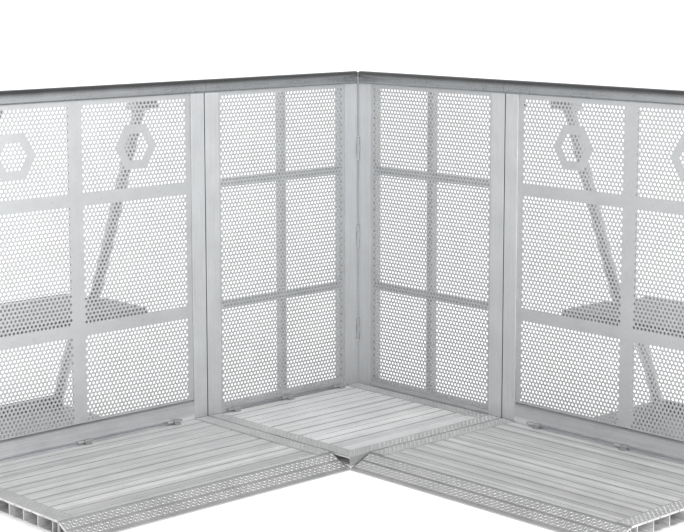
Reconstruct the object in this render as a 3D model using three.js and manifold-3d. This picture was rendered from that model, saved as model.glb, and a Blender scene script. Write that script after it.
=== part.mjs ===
// Stage-front crowd barrier: two full modules joined by an adjustable corner unit.
// Millimetres, +Z up. The standing surface is z = 0 and the origin is the middle of the footprint.
// Every unit is built in its own frame: X to the audience's right, Y backwards to the stage side.
import * as THREE from 'three';
import { mergeVertices } from 'three/addons/utils/BufferGeometryUtils.js';
import Module from 'manifold-3d';

const wasm = await Module();
wasm.setup();

const GAP = 0.3;
const MODULE_W = 1050;
const CORNER_W = 720;
const TOP = 1210;

const POST_W = 58;
const CORNER_POST_W = 62;
const POST_D = 30;
const WALL = 3;
const HINGE_POST_W = 64.1;
const HINGE_SIDE = 0.9;
const PLATE_SIDE = 1.5;
const JOINT_SIDE = 1.4;

const RAIL_H = 44;
const RAIL_FRONT = -10;
const RAIL_BACK = 40;
const PANEL_TOP = TOP - RAIL_H - GAP;

const KICK_Z0 = 14;
const KICK_Z1 = 108;
const KICK_BACK = 40;

const SHEET_Y0 = 6;
const SHEET_Y1 = 8;
const BAR_Y0 = SHEET_Y1 + GAP;
const BAR_D = 25;
const BAR_Y1 = BAR_Y0 + BAR_D;
const MID_W = 26;
const MODULE_BARS = [[402, 434], [827, 859]];
const CORNER_MID_W = 25;
const CORNER_BARS = [[407, 432], [835, 860]];
const CORNER_SHEET_Z0 = 58;
const BOTTOM_BAR = [14, 70];
const SILL_Y0 = 3;
const HINGE_SIDE_BAR_W = 19;

const DECK_TOP = 40;
const DECK_BACK = -3;
const DECK_FRONT = -630;
const DECK_SIDE = 2;
const DECK_WALL = 3;
const DECK_SKIN = 4;
const PLANK_EDGES = [-3, -153, -303, -453, -603];
const GROOVES = [-48, -108, -198, -258, -348, -408, -498, -558];
const GROOVE_W = 4;
const GROOVE_DEPTH = 2;
const RAMP_FRONT = -720;
const CORNER_DECK_BOTTOM = 12.5;
const CORNER_DECK_FRONT = -718;
const CORNER_DECK_RIGHT = 2;
const STRIP_W = 55;
const STRIP_T = 3;

const PIN_Y = -7;
const PIN_Z = 50;
const PIN_R = 3;
const EAR_R = 6;
const EAR_L = 24;

const BOLT_Y = 48;
const BOLT_Z = [140, 1122];
const BOLT_R = 6;
const LUG_T = 19;
const KNOB_R = 14.5;
const KNOB_LOBE = 2.5;

const HINGE_Z = [250, 602, 927];
const BARREL_R = 9;
const BARREL_CLEAR = 10;
const BARREL_HALF = 40;
const BARREL_MIDDLE = 13;
const HINGE_PIN_R = 4;

const LEG_X = 301;
const LEG_R = 20;
const LEG_WALL = 3;
const LEG_PATH = [[60, 1140], [130, 966], [225, 733], [320, 502], [352, 434], [392, 382], [462, 298]];
const LEG_TAIL = [[500, 240], [545, 140], [596, 8], [606, -20]];
const FOOT_HALF = 330;
const FOOT_Y = [368, 628];

const STEP_TOP = 444;
const STEP_H = 28;
const STEP_PIN = [52, 430];
const STEP_WIDE = 317;
const STEP_NARROW = 272;
const STEP_Y = [64, 296, 472];

const SHADES = {
  rail: 0xb4b6b8,
  frame: 0xc4c6c8,
  sheet: 0xd0d2d4,
  deck: 0xc0c2c4,
  tread: 0xb0b2b4,
  brace: 0x9c9ea0,
  step: 0x7c7e80,
  steel: 0x8a8c8e,
  knob: 0x2a2b2d,
};

// A closed solid from a closed geometry.
function solid(geometry) {
  const flat = geometry.index ? geometry.toNonIndexed() : geometry;
  const bare = new THREE.BufferGeometry().setAttribute('position', flat.getAttribute('position'));
  const merged = mergeVertices(bare, 1e-4);
  return new wasm.Manifold(new wasm.Mesh({
    numProp: 3,
    vertProperties: merged.attributes.position.array,
    triVerts: new Uint32Array(merged.index.array),
  }));
}

function toGeometry(body) {
  const mesh = body.getMesh();
  const geometry = new THREE.BufferGeometry();
  geometry.setAttribute('position', new THREE.BufferAttribute(mesh.vertProperties, 3));
  geometry.setIndex(new THREE.BufferAttribute(mesh.triVerts, 1));
  geometry.computeVertexNormals();
  return geometry;
}

function join(parts) {
  return parts.reduce((whole, part) => whole.add(part));
}

function cut(body, tools) {
  return tools.reduce((rest, tool) => rest.subtract(tool), body);
}

function box([x0, x1], [y0, y1], [z0, z1]) {
  const geometry = new THREE.BoxGeometry(x1 - x0, y1 - y0, z1 - z0);
  geometry.translate((x0 + x1) / 2, (y0 + y1) / 2, (z0 + z1) / 2);
  return solid(geometry);
}

function prism(points, depth) {
  const shape = new THREE.Shape(points.map(([u, v]) => new THREE.Vector2(u, v)));
  return new THREE.ExtrudeGeometry(shape, { depth, bevelEnabled: false });
}

function drawnX(points, [x0, x1]) {
  const geometry = prism(points, x1 - x0);
  const axes = [new THREE.Vector3(0, 1, 0), new THREE.Vector3(0, 0, 1), new THREE.Vector3(1, 0, 0)];
  geometry.applyMatrix4(new THREE.Matrix4().makeBasis(...axes));
  geometry.translate(x0, 0, 0);
  return solid(geometry);
}

function drawnZ(points, [z0, z1]) {
  const geometry = prism(points, z1 - z0);
  geometry.translate(0, 0, z0);
  return solid(geometry);
}

// A profile in (y, z), drawn out along X, with bores that run through from end to end.
function barX(points, [x0, x1], bores = []) {
  return cut(drawnX(points, [x0, x1]), bores.map((bore) => drawnX(bore, [x0 - 1, x1 + 1])));
}

// A profile in (x, y), drawn up along Z, with bores that run through from end to end.
function barZ(points, [z0, z1], bores = []) {
  return cut(drawnZ(points, [z0, z1]), bores.map((bore) => drawnZ(bore, [z0 - 1, z1 + 1])));
}

function rodX(y, z, radius, [x0, x1], sides = 12) {
  const geometry = new THREE.CylinderGeometry(radius, radius, x1 - x0, sides);
  geometry.rotateZ(Math.PI / 2);
  geometry.translate((x0 + x1) / 2, y, z);
  return solid(geometry);
}

function rodZ(x, y, radius, [z0, z1], sides = 20) {
  const geometry = new THREE.CylinderGeometry(radius, radius, z1 - z0, sides);
  geometry.rotateX(Math.PI / 2);
  geometry.translate(x, y, (z0 + z1) / 2);
  return solid(geometry);
}

function rectangle([u0, u1], [v0, v1]) {
  return [[u0, v0], [u1, v0], [u1, v1], [u0, v1]];
}

// A rectangle whose four corners have their own radii, from the low u, low v corner round.
function rounded([u0, u1], [v0, v1], radii, steps = 4) {
  const centres = [
    [u0 + radii[0], v0 + radii[0], Math.PI],
    [u1 - radii[1], v0 + radii[1], 1.5 * Math.PI],
    [u1 - radii[2], v1 - radii[2], 0],
    [u0 + radii[3], v1 - radii[3], 0.5 * Math.PI],
  ];
  const points = [];
  centres.forEach(([u, v, start], corner) => {
    for (let i = 0; i <= steps; i += 1) {
      const angle = start + (i / steps) * 0.5 * Math.PI;
      points.push([u + radii[corner] * Math.cos(angle), v + radii[corner] * Math.sin(angle)]);
    }
  });
  return points;
}

function piece(name, body, shade, roughness = 0.42, metalness = 0.9) {
  const material = new THREE.MeshStandardMaterial({ color: shade, roughness, metalness });
  const mesh = new THREE.Mesh(toGeometry(body), material);
  mesh.name = name;
  return mesh;
}

// Rectangular tube standing on the ground, with a bolt lug behind it at each bolt height.
function post([x0, x1], lugX) {
  const hollow = rectangle([x0 + WALL, x1 - WALL], [WALL, POST_D - WALL]);
  const tube = barZ(rectangle([x0, x1], [0, POST_D]), [0, PANEL_TOP], [hollow]);
  return withLugs(tube, lugX);
}

function withLugs(tube, lugX) {
  const lugs = BOLT_Z.map((z) => box(lugX, [POST_D - 1, BOLT_Y + 18], [z - 17, z + 17]));
  const bores = BOLT_Z.map((z) => {
    return rodX(BOLT_Y, z, BOLT_R + 0.5, [lugX[0] - 5, lugX[1] + 5], 16);
  });
  return cut(join([tube, ...lugs]), bores);
}

function handrail([x0, x1]) {
  const outer = rounded([RAIL_FRONT, RAIL_BACK], [TOP - RAIL_H, TOP], [10, 10, 22, 22]);
  const inner = rounded([RAIL_FRONT + 4, RAIL_BACK - 4], [TOP - RAIL_H + 4, TOP - 4], [6, 6, 18, 18], 3);
  return barX(outer, [x0, x1], [inner]);
}

// A lug around the deck pin, welded to the rail behind it. back is how far the weld reaches.
function fixedEar(x, back) {
  const span = [x - EAR_L - 2, x - 2];
  const web = box(span, [PIN_Y, back], [PIN_Z - 5, PIN_Z + 6]);
  return join([rodX(PIN_Y, PIN_Z, EAR_R, span, 16), web]);
}

// A lug around the deck pin, welded to the deck's top rear edge.
function deckEar(x) {
  const span = [x, x + EAR_L];
  const web = box(span, [PIN_Y - 16, PIN_Y], [DECK_TOP - 3, PIN_Z - 2]);
  return join([rodX(PIN_Y, PIN_Z, EAR_R, span, 16), web]);
}

function pinBore([x0, x1]) {
  return rodX(PIN_Y, PIN_Z, PIN_R + 0.4, [x0, x1], 16);
}

function earStations(width) {
  return [0.15 * width, 0.5 * width, 0.85 * width];
}

function kickRail(width) {
  const span = [POST_W + GAP, width - POST_W - GAP];
  const outer = rounded([0, KICK_BACK], [KICK_Z0, KICK_Z1], [8, 4, 4, 16], 3);
  const inner = rectangle([WALL + 6, KICK_BACK - WALL], [KICK_Z0 + WALL + 3, KICK_Z1 - WALL - 6]);
  const rail = barX(outer, span, [inner]);
  const ears = earStations(width).map((x) => fixedEar(x, 4));
  return cut(join([rail, ...ears]), [pinBore([0, width])]);
}

// The bars behind the sheet: one upright and the cross bars, all one welded tube frame.
function grid([x0, x1], middle, midWidth, bars, [z0, z1]) {
  const upright = [middle - midWidth / 2, middle + midWidth / 2];
  const outside = [
    box(upright, [BAR_Y0, BAR_Y1], [z0, z1]),
    ...bars.map((z) => box([x0, x1], [BAR_Y0, BAR_Y1], z)),
  ];
  const depth = [BAR_Y0 + 2, BAR_Y1 - 2];
  const inside = [
    box([upright[0] + 2, upright[1] - 2], depth, [z0 - 1, z1 + 1]),
    ...bars.map(([low, high]) => box([x0 - 1, x1 + 1], depth, [low + 2, high - 2])),
  ];
  return cut(join(outside), [join(inside)]);
}

// Lugs for the step's pin on the lower cross bar.
function stepEar([x0, x1]) {
  const [y, z] = STEP_PIN;
  const web = box([x0, x1], [BAR_Y1 - 1, y], [z - 6, z + 4]);
  return join([rodX(y, z, 8, [x0, x1], 16), web]);
}

function moduleGrid() {
  const span = [POST_W + GAP, MODULE_W - POST_W - GAP];
  const frame = grid(span, MODULE_W / 2, MID_W, MODULE_BARS, [KICK_Z1 + GAP, PANEL_TOP]);
  const middle = MODULE_W / 2;
  const ears = [stepEar([middle - 182, middle - 152]), stepEar([middle + 152, middle + 182])];
  const bore = rodX(STEP_PIN[0], STEP_PIN[1], 4.4, [0, MODULE_W], 16);
  return cut(join([frame, ...ears]), [bore]);
}

function grooveNotches() {
  const points = [];
  for (const y of GROOVES) {
    points.push([y + GROOVE_W / 2, DECK_TOP], [y + GROOVE_W / 2, DECK_TOP - GROOVE_DEPTH]);
    points.push([y - GROOVE_W / 2, DECK_TOP - GROOVE_DEPTH], [y - GROOVE_W / 2, DECK_TOP]);
  }
  return points;
}

// Two cells in each plank and one in the nose, all open at both ends.
function deckCells(bottom, front) {
  const edges = [];
  for (let i = 0; i + 1 < PLANK_EDGES.length; i += 1) {
    const middle = (PLANK_EDGES[i] + PLANK_EDGES[i + 1]) / 2;
    edges.push([PLANK_EDGES[i], middle], [middle, PLANK_EDGES[i + 1]]);
  }
  edges.push([PLANK_EDGES[4], front]);
  return edges.map(([back, ahead]) => {
    return rectangle([ahead + 1.5, back - 1.5], [bottom + DECK_WALL, DECK_TOP - DECK_SKIN]);
  });
}

function deck([x0, x1], bottom, front, stations) {
  const outer = [[DECK_BACK, bottom], [DECK_BACK, DECK_TOP], ...grooveNotches()];
  outer.push([front, DECK_TOP], [front, bottom]);
  const cells = deckCells(bottom, front);
  cells[0] = rectangle([cells[0][0][0], DECK_BACK - DECK_WALL], [cells[0][0][1], cells[0][2][1]]);
  cells[8] = rectangle([front + DECK_WALL, cells[8][1][0]], [cells[8][0][1], cells[8][2][1]]);
  const plank = barX(outer.reverse(), [x0, x1], cells);
  return cut(join([plank, ...stations.map(deckEar)]), [pinBore([x0 - 1, x1 + 1])]);
}

// A sloping tread ahead of the deck, hollow, with a thin lip on the ground.
function ramp([x0, x1]) {
  const back = DECK_FRONT - GAP;
  const outer = [
    [RAMP_FRONT, 0], [back, 0], [back, DECK_TOP - 1], [back - 6, DECK_TOP - 1],
    [RAMP_FRONT + 6, 4], [RAMP_FRONT, 3],
  ];
  const inner = [[RAMP_FRONT + 34, 3], [back - 4, 3], [back - 4, DECK_TOP - 7]];
  return barX(outer, [x0, x1], [inner]);
}

function strip([x0, x1]) {
  return box([x0, x1], [DECK_FRONT + 2, DECK_BACK], [DECK_TOP + GAP, DECK_TOP + GAP + STRIP_T]);
}

function deckPin(width, inset) {
  return rodX(PIN_Y, PIN_Z, PIN_R, [inset, width - inset]);
}

// A bent tube leg with a block at its head that hangs from the handrail.
function leg(x) {
  const points = [...LEG_PATH, ...LEG_TAIL].map(([y, z]) => new THREE.Vector3(x, y, z));
  const path = new THREE.CatmullRomCurve3(points, false, 'centripetal');
  const ring = new THREE.Shape().absarc(0, 0, LEG_R, 0, 2 * Math.PI, false);
  ring.holes.push(new THREE.Path().absarc(0, 0, LEG_R - LEG_WALL, 0, 2 * Math.PI, true));
  const tube = solid(new THREE.ExtrudeGeometry(ring, {
    extrudePath: path,
    steps: 18,
    curveSegments: 6,
    bevelEnabled: false,
  }));
  const head = box([x - 45, x + 45], [20, 82], [1122, PANEL_TOP]);
  const below = box([x - 60, x + 60], [480, 720], [-80, 8 + GAP]);
  return cut(join([tube, head]), [below]);
}

function legCross(middle) {
  const inner = LEG_X - LEG_R - 0.5;
  const tube = rodX(379, 398, 16, [middle - inner, middle + inner], 16);
  return cut(tube, [rodX(379, 398, 13, [0, MODULE_W], 16)]);
}

function rearFoot(middle) {
  const [y0, y1] = FOOT_Y;
  const outline = [[y0, 0], [y1, 0], [y1, 42], [y1 - 6, 42], [y1 - 6, 8], [y0, 8]];
  return barX(outline, [middle - FOOT_HALF, middle + FOOT_HALF]);
}

function strut(middle) {
  const x = [middle - 275, middle - 251];
  const tube = box(x, [KICK_BACK + GAP, 560], [8 + GAP, 58]);
  return cut(tube, [box([x[0] + 3, x[1] - 3], [KICK_BACK - 5, 565], [11 + GAP, 55])]);
}

// The step is a tray turned down, wide at the wall and narrower between the legs.
function step(middle) {
  const [y0, y1, y2] = STEP_Y;
  const z = [STEP_TOP - STEP_H, STEP_TOP];
  const wide = [middle - STEP_WIDE, middle + STEP_WIDE];
  const narrow = [middle - STEP_NARROW, middle + STEP_NARROW];
  const outside = [box(wide, [y0, y1], z), box(narrow, [y1 - 1, y2], z)];
  const hollow = [z[0] - 1, z[1] - 4];
  const inside = [
    box([wide[0] + 4, wide[1] - 4], [y0 + 4, y1 - 4], hollow),
    box([narrow[0] + 4, narrow[1] - 4], [y1 - 5, y2 - 4], hollow),
  ];
  const [pinY, pinZ] = STEP_PIN;
  const knuckles = [[middle - 150, middle - 120], [middle + 120, middle + 150]].map((x) => {
    return join([rodX(pinY, pinZ, 8, x, 16), box(x, [pinY, y0 + 2], [pinZ - 6, pinZ + 6])]);
  });
  const tray = cut(join(outside), [join(inside)]);
  return cut(join([tray, ...knuckles]), [rodX(pinY, pinZ, 4.4, [0, MODULE_W], 16)]);
}

function moduleGroup(prefix) {
  const group = new THREE.Group();
  const middle = MODULE_W / 2;
  const inner = [POST_W + GAP, MODULE_W - POST_W - GAP];
  const deckSpan = [DECK_SIDE, MODULE_W - DECK_SIDE];
  const rightPost = [MODULE_W - POST_W, MODULE_W - JOINT_SIDE];
  const add = (name, body, shade, rough, metal) => {
    group.add(piece(`${prefix}_${name}`, body, shade, rough, metal));
  };
  add('post_left', post([JOINT_SIDE, POST_W], [JOINT_SIDE, JOINT_SIDE + LUG_T]), SHADES.frame);
  add('post_right', post(rightPost, [rightPost[1] - LUG_T, rightPost[1]]), SHADES.frame);
  add('handrail', handrail([0.5, MODULE_W - 0.5]), SHADES.rail);
  add('kick_rail', kickRail(MODULE_W), SHADES.rail);
  add('grid', moduleGrid(), SHADES.frame);
  add('sheet', box(inner, [SHEET_Y0, SHEET_Y1], [KICK_Z1 + GAP, PANEL_TOP]), SHADES.sheet);
  add('deck', deck(deckSpan, 0, DECK_FRONT, earStations(MODULE_W)), SHADES.deck);
  add('ramp', ramp(deckSpan), SHADES.tread);
  add('deck_strip_left', strip([deckSpan[0], deckSpan[0] + STRIP_W]), SHADES.tread);
  add('deck_strip_right', strip([deckSpan[1] - STRIP_W, deckSpan[1]]), SHADES.tread);
  add('deck_pin', deckPin(MODULE_W, 120), SHADES.steel, 0.35);
  add('leg_left', leg(middle - LEG_X), SHADES.brace);
  add('leg_right', leg(middle + LEG_X), SHADES.brace);
  add('leg_cross', legCross(middle), SHADES.brace);
  add('rear_foot', rearFoot(middle), SHADES.brace);
  add('strut', strut(middle), SHADES.brace);
  add('step', step(middle), SHADES.step);
  add('step_pin', rodX(...STEP_PIN, 4, [middle - 190, middle + 190]), SHADES.steel, 0.35);
  return group;
}

// side is 1 where the hinge is at the unit's right end, and -1 where it is at its left end.
// Pieces are drawn for side 1 with the hinge axis at x = 0 and the unit towards -X.
function flipped(body, side) {
  return side > 0 ? body : body.mirror([1, 0, 0]);
}

// The hinge post is a tube whose inner front corner is solid, where the barrels are welded.
function hingePost(side) {
  const x0 = -HINGE_SIDE - HINGE_POST_W;
  const x1 = -HINGE_SIDE;
  const hollow = [
    [x0 + WALL, WALL], [x1 - 14, WALL], [x1 - 14, 14],
    [x1 - WALL, 14], [x1 - WALL, POST_D - WALL], [x0 + WALL, POST_D - WALL],
  ];
  const tube = barZ(rectangle([x0, x1], [0, POST_D]), [0, PANEL_TOP], [hollow]);
  const knuckles = [];
  const clears = [];
  for (const z of HINGE_Z) {
    const outer = [[z - BARREL_HALF, z - BARREL_MIDDLE - 1], [z + BARREL_MIDDLE + 1, z + BARREL_HALF]];
    const inner = [[z - BARREL_MIDDLE, z + BARREL_MIDDLE]];
    const mine = side > 0 ? outer : inner;
    const other = side > 0 ? inner : outer;
    mine.forEach((span) => knuckles.push(rodZ(0, 0, BARREL_R, span)));
    other.forEach(([a, b]) => clears.push(rodZ(0, 0, BARREL_CLEAR, [a - 0.7, b + 0.7])));
    clears.push(rodZ(0, 0, HINGE_PIN_R + 0.4, [z - BARREL_HALF - 3, z + BARREL_HALF + 3]));
  }
  return cut(join([tube, ...knuckles]), clears);
}

// The front overhang of the rail is mitred, so that the two rails can stand at a right angle.
function cornerRail() {
  const mitre = barZ(
    [[-HINGE_SIDE, 0.5], [-HINGE_SIDE - 11.5, RAIL_FRONT - 1], [0, RAIL_FRONT - 1], [0, 0.5]],
    [TOP - RAIL_H - 1, TOP + 1],
  );
  return cut(handrail([-CORNER_W + 0.5, -HINGE_SIDE]), [mitre]);
}

// A tube behind the sheet's foot, with a sill below the sheet that comes forward of it.
function bottomBar(withEars) {
  const span = [-CORNER_W + CORNER_POST_W + GAP, -HINGE_SIDE - HINGE_POST_W - GAP];
  const sill = box(span, [SILL_Y0, BAR_Y1], [BOTTOM_BAR[0], CORNER_SHEET_Z0 - GAP]);
  const tube = join([sill, box(span, [BAR_Y0, BAR_Y1], BOTTOM_BAR)]);
  const inside = box([span[0] - 1, span[1] + 1], [BAR_Y0 + 2, BAR_Y1 - 2], [BOTTOM_BAR[0] + 2, BOTTOM_BAR[1] - 2]);
  const bar = cut(tube, [inside]);
  if (!withEars) {
    return bar;
  }
  const ears = earStations(CORNER_W).map((x) => fixedEar(x - CORNER_W, BAR_Y0 + 1));
  return cut(join([bar, ...ears]), [pinBore([-CORNER_W, 0])]);
}

// The corner panels' bars, with one more upright beside the hinge post.
function cornerGrid(inner, middle, gridZ) {
  const side = [inner[1] - HINGE_SIDE_BAR_W, inner[1]];
  const tube = box(side, [BAR_Y0, BAR_Y1], gridZ);
  const inside = [
    box([side[0] + 2, side[1] - 2], [BAR_Y0 + 2, BAR_Y1 - 2], [gridZ[0] - 1, gridZ[1] + 1]),
    ...CORNER_BARS.map(([low, high]) => {
      return box([side[0] - 1, side[1] + 1], [BAR_Y0 + 2, BAR_Y1 - 2], [low + 2, high - 2]);
    }),
  ];
  const bars = grid(inner, middle, CORNER_MID_W, CORNER_BARS, gridZ);
  return cut(join([bars, tube]), [join(inside)]);
}

function cornerPanel(prefix, side) {
  const group = new THREE.Group();
  const outer = [-CORNER_W + JOINT_SIDE, -CORNER_W + CORNER_POST_W];
  const inner = [outer[1] + GAP, -HINGE_SIDE - HINGE_POST_W - GAP];
  const middle = -CORNER_W / 2;
  const gridZ = [BOTTOM_BAR[1] + GAP, PANEL_TOP];
  const add = (name, body, shade) => {
    group.add(piece(`${prefix}_${name}`, flipped(body, side), shade));
  };
  add('post_outer', post(outer, [outer[0], outer[0] + LUG_T]), SHADES.frame);
  add('post_hinge', hingePost(side), SHADES.frame);
  add('handrail', cornerRail(), SHADES.rail);
  add('bottom_bar', bottomBar(side > 0), SHADES.frame);
  add('grid', cornerGrid(inner, middle, gridZ), SHADES.frame);
  add('sheet', box(inner, [SHEET_Y0, SHEET_Y1], [CORNER_SHEET_Z0, PANEL_TOP]), SHADES.sheet);
  return group;
}

function cornerDeck() {
  const span = [-CORNER_W + DECK_SIDE, -CORNER_DECK_RIGHT];
  const stations = earStations(CORNER_W).map((x) => x - CORNER_W);
  return deck(span, CORNER_DECK_BOTTOM, CORNER_DECK_FRONT, stations);
}

// Tread plate round the three free edges of the corner deck.
function cornerEdging() {
  const x0 = -CORNER_W + DECK_SIDE;
  const x1 = -CORNER_DECK_RIGHT;
  const front = CORNER_DECK_FRONT;
  const outline = [
    [x0, DECK_BACK], [x0, front], [x1, front], [x1, DECK_BACK],
    [x1 - STRIP_W, DECK_BACK], [x1 - STRIP_W, front + STRIP_W],
    [x0 + STRIP_W, front + STRIP_W], [x0 + STRIP_W, DECK_BACK],
  ];
  return barZ(outline, [DECK_TOP + GAP, DECK_TOP + GAP + STRIP_T]);
}

// The right panel's base plate lies under the corner deck and turns out from below it.
function basePlate() {
  const y0 = -CORNER_W + 3;
  const y1 = -0.5;
  const top = CORNER_DECK_BOTTOM - 0.5;
  const points = [[y0, top], [y1, top]];
  const ribs = 6;
  for (let i = 0; i < ribs; i += 1) {
    const y = y1 - (i * (y1 - y0 - 10)) / (ribs - 1);
    points.push([y, i === 0 ? 0 : 6], [y, 0], [y - 10, 0], [y - 10, i === ribs - 1 ? 0 : 6]);
  }
  const outline = points.filter(([y, z], i) => {
    return i === 0 || y !== points[i - 1][0] || z !== points[i - 1][1];
  });
  return barX(outline.reverse(), [PLATE_SIDE, CORNER_W - 3]);
}

// A five-lobed hand knob on a bolt that runs through the lugs of both posts.
function bolt(side) {
  const lobes = [];
  const turns = 30;
  for (let i = 0; i < turns; i += 1) {
    const angle = (i / turns) * 2 * Math.PI;
    const radius = KNOB_R + KNOB_LOBE * Math.cos(5 * angle);
    lobes.push([BOLT_Y + radius * Math.cos(angle), radius * Math.sin(angle)]);
  }
  const lug = LUG_T + JOINT_SIDE + GAP + 0.2;
  const knob = barX(lobes, [-lug - 20, -lug]);
  const shaft = rodX(BOLT_Y, 0, BOLT_R, [-lug - 2, lug + 2]);
  const head = rodX(BOLT_Y, 0, 10, [lug, lug + 8], 6);
  return flipped(join([knob, shaft, head]), side);
}

function bolts(prefix, side) {
  const group = new THREE.Group();
  const names = ['lower', 'upper'];
  BOLT_Z.forEach((z, i) => {
    const mesh = piece(`${prefix}_bolt_${names[i]}`, bolt(side), SHADES.knob, 0.6, 0.2);
    mesh.position.z = z;
    group.add(mesh);
  });
  return group;
}

function hingePins() {
  const group = new THREE.Group();
  ['lower', 'middle', 'upper'].forEach((name, i) => {
    const span = [HINGE_Z[i] - BARREL_HALF - 2, HINGE_Z[i] + BARREL_HALF + 2];
    group.add(piece(`corner_hinge_pin_${name}`, rodZ(0, 0, HINGE_PIN_R, span, 16), SHADES.steel, 0.35));
  });
  return group;
}

function placed(group, x) {
  group.position.x = x;
  return group;
}

function leftWall() {
  const wall = new THREE.Group();
  wall.add(placed(moduleGroup('left_module'), -CORNER_W - MODULE_W));
  wall.add(cornerPanel('left_corner', 1));
  wall.add(piece('left_corner_deck', cornerDeck(), SHADES.deck));
  wall.add(piece('left_corner_deck_edging', cornerEdging(), SHADES.tread));
  const pin = piece('left_corner_deck_pin', deckPin(CORNER_W, 80), SHADES.steel, 0.35);
  wall.add(placed(pin, -CORNER_W));
  wall.add(placed(bolts('left_joint', 1), -CORNER_W));
  wall.add(hingePins());
  return wall;
}

function rightWall() {
  const wall = new THREE.Group();
  wall.add(cornerPanel('right_corner', -1));
  wall.add(piece('right_corner_base_plate', basePlate(), SHADES.deck));
  wall.add(placed(moduleGroup('right_module'), CORNER_W));
  wall.add(placed(bolts('right_joint', -1), CORNER_W));
  wall.rotation.z = -Math.PI / 2;
  return wall;
}

// The corner's hinge axis stands off the origin, so that the origin is the middle of the footprint.
const barrier = new THREE.Group();
const toCorner = (CORNER_W + MODULE_W - 0.5 - FOOT_Y[1]) / 2;
barrier.position.set(toCorner, toCorner, 0);
barrier.add(leftWall());
barrier.add(rightWall());

export default barrier;
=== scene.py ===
"""Stage-front crowd barrier round an inside corner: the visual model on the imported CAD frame."""
import math

import bpy
from mathutils import Matrix, Vector
from mathutils.geometry import tessellate_polygon


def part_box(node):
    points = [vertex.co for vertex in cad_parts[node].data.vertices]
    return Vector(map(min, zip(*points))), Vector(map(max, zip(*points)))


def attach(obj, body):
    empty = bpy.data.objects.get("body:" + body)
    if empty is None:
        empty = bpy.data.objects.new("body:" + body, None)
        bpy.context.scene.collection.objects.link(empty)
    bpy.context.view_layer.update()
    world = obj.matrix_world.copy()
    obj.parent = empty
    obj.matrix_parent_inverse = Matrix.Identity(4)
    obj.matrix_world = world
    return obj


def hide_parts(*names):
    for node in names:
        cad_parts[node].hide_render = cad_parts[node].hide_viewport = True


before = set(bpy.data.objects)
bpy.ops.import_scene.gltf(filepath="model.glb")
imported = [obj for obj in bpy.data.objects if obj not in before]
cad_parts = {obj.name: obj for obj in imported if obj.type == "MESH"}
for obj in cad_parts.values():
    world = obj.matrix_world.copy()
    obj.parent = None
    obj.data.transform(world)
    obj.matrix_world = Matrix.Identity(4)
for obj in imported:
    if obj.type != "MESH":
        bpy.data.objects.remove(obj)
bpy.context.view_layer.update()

MM = 0.001

# ---------------------------------------------------------------- sizes, in millimetres
MODULE_W, CORNER_W, TOP = 1050, 720, 1210
POST_W, CORNER_POST_W, POST_D = 58, 62, 30
RAIL_H, RAIL_FRONT, RAIL_BACK = 44, -10, 40
GAP = 0.3                                   # between pieces that are welded or bolted together
PANEL_TOP = TOP - RAIL_H - GAP
KICK_Z0, KICK_Z1, KICK_BACK = 14, 108, 40
HINGE_POST_X, RAIL_SIDE, MITRE_GAP, JOINT_SIDE = -65, 0.4, 0.5, 1.4
SHEET_Y, CORNER_SHEET_Z0 = (6, 8), 58
BAR_Y = (8.3, 33.3)
MODULE_BAR_Z, CORNER_BAR_Z = ((402, 434), (827, 859)), ((407, 432), (835, 860))
MODULE_UPRIGHT_W, CORNER_UPRIGHT_W = 26, 25
DECK_TOP, DECK_BACK, DECK_FRONT = 40, -3, -630
PLANK_EDGES = (-3, -153, -303, -453, -603)
GROOVES = (-48, -108, -198, -258, -348, -408, -498, -558)
GROOVE_DEPTH = 3.0
RAMP_BACK, RAMP_FRONT = DECK_FRONT - 2.5, -720
CORNER_DECK_BOTTOM, CORNER_DECK_FRONT, CORNER_DECK_RIGHT = 12.5, -718, 2
STRIP_W, STRIP_BOTTOM, STRIP_TOP = 55, 40.3, 43.3
PIN_Y, PIN_Z, PIN_BORE_R, EAR_R, EAR_L = -7, 50, 3.4, 6, 24
BOLT_Y, BOLT_Z, LUG_T = 48, (140, 1122), 19
LEG_X, LEG_R, LEG_WALL, LEG_FOOT_Z = 301, 20, 3, 8.3
HEAD_Z0, HEAD_Y, HEAD_HALF_W = 1122, (20, 82), 45
LEG_PATH = ((60, 1140), (130, 966), (225, 733), (320, 502), (352, 434), (392, 382),
            (462, 298), (500, 240), (545, 140), (596, 8), (606, -20))
STEP_TOP, STEP_Y, STEP_WIDE, STEP_NARROW = 444, (64, 296, 472), 317, 272
HOLE_PITCH, HOLE_ROW, HOLE_R = 15.0, 13.0, 5.0

# Fields of holes, as start and number of columns across, then start and number of rows up.
MODULE_FIELDS = ((75, 57), (547.5, 57)), ((112, 22), (436, 30), (865, 22))
CORNER_FIELDS = ((-650, 77),), ((61, 84),)
MODULE_HOLE_SIDES, CORNER_HOLE_SIDES = 9, 10
# The plain hexagon in each upper pane: height of its middle, inner and outer edge in holes.
PATCH_X, PATCH = (288.75, 761.25), (1001.5, 3.4, 5.6)

RIVETS_UP = (130, 250, 370, 417, 500, 610, 720, 845, 900, 1010, 1120)
RIVETS_ACROSS, RIVET_ROWS = (110, 190, 270, 350, 430, 620, 700, 780, 860, 940), (417, 845)

# Raised lozenges: pitch, length, width and height on the ramps, the strips and the steps.
RAMP_TREAD = (10.5, 11.0, 3.0, 1.3)
STRIP_TREAD = (9.5, 9.6, 2.8, 1.1)
STEP_TREAD = (17, 13.5, 4.6, 1.1)
BEAD_RIPPLE = 2.2                           # from one ripple of a weld to the next

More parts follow.
